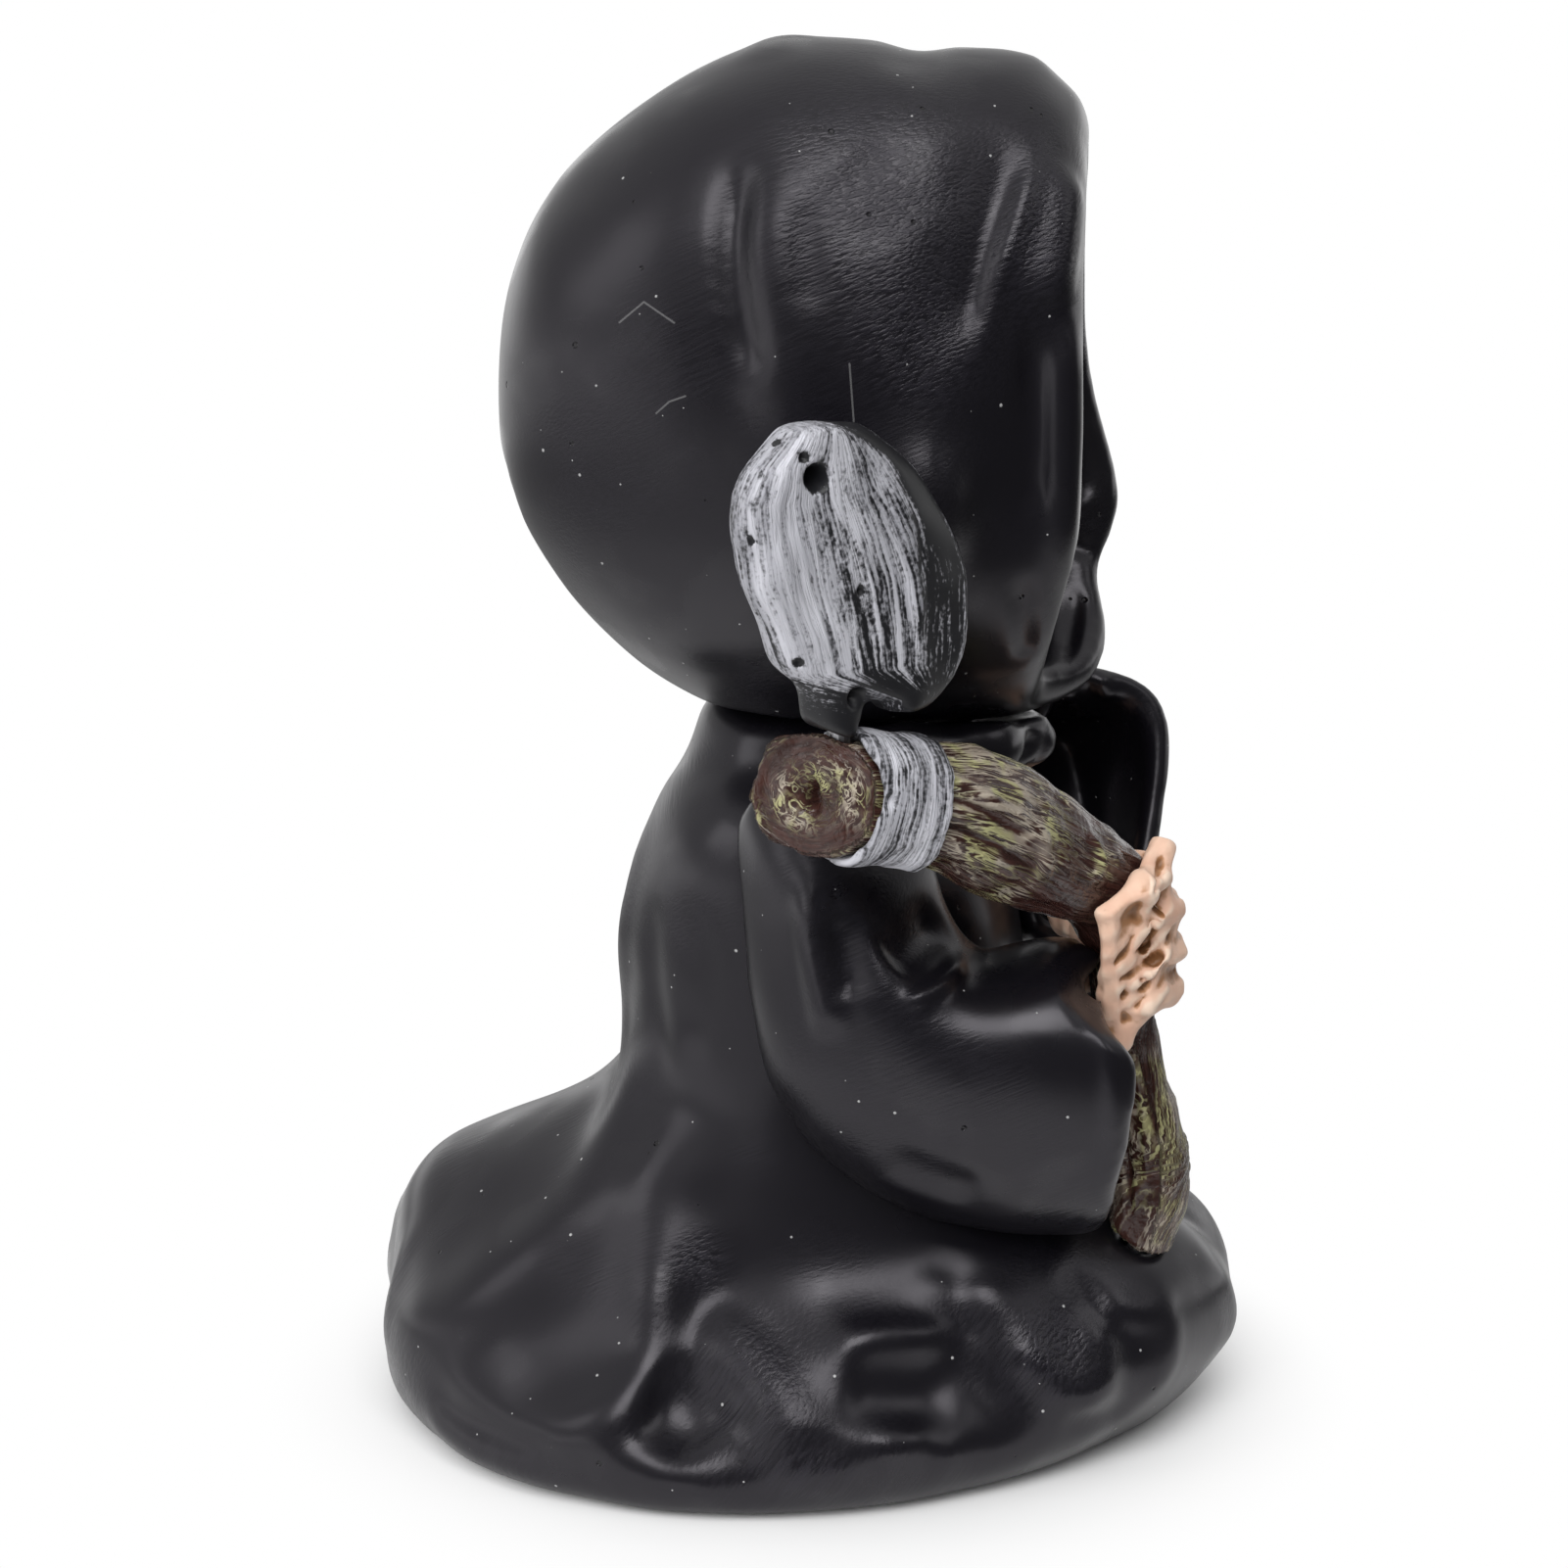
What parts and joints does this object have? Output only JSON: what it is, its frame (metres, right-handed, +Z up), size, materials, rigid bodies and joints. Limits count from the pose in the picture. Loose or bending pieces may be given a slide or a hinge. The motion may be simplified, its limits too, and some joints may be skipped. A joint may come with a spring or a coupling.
{
  "type": "grim reaper figurine",
  "caption": "Small painted resin figurine of a hooded reaper in a spread robe, gripping a crooked wooden scythe with a thick silver blade.",
  "frame": {"origin": "middle of the base's flat underside, under the figure's upright axis", "axes": "+Z up through the hood; the figure faces -Y, and its own right side, with the scythe, is -X"},
  "size_m": [0.0612, 0.0655, 0.1],
  "materials": {
    "black_paint": "satin black brushed paint on cast resin",
    "bone_paint": "cream paint with an amber-brown wash",
    "wood_paint": "red-brown paint, dry-brushed yellow-green",
    "silver_paint": "silver dry-brushed over black",
    "felt": "thin black felt",
    "steel": "plain drawn wire"
  },
  "bodies": {
    "root": {"robe_body": "black_paint", "hood": "black_paint", "cowl_collar": "black_paint", "right_sleeve": "black_paint", "left_sleeve": "black_paint", "skull": "bone_paint", "right_hand": "bone_paint", "left_hand": "bone_paint", "scythe_handle": "wood_paint", "blade_ferrule": "silver_paint", "scythe_blade": "silver_paint", "base_pad": "felt", "neck_pin": "steel", "skull_pin": "steel", "right_shoulder_pin": "steel", "left_shoulder_pin": "steel", "right_wrist_pin": "steel", "left_wrist_pin": "steel", "blade_tang_pin": "steel", "handle_foot_pin": "steel"}
  },
  "joints": []
}
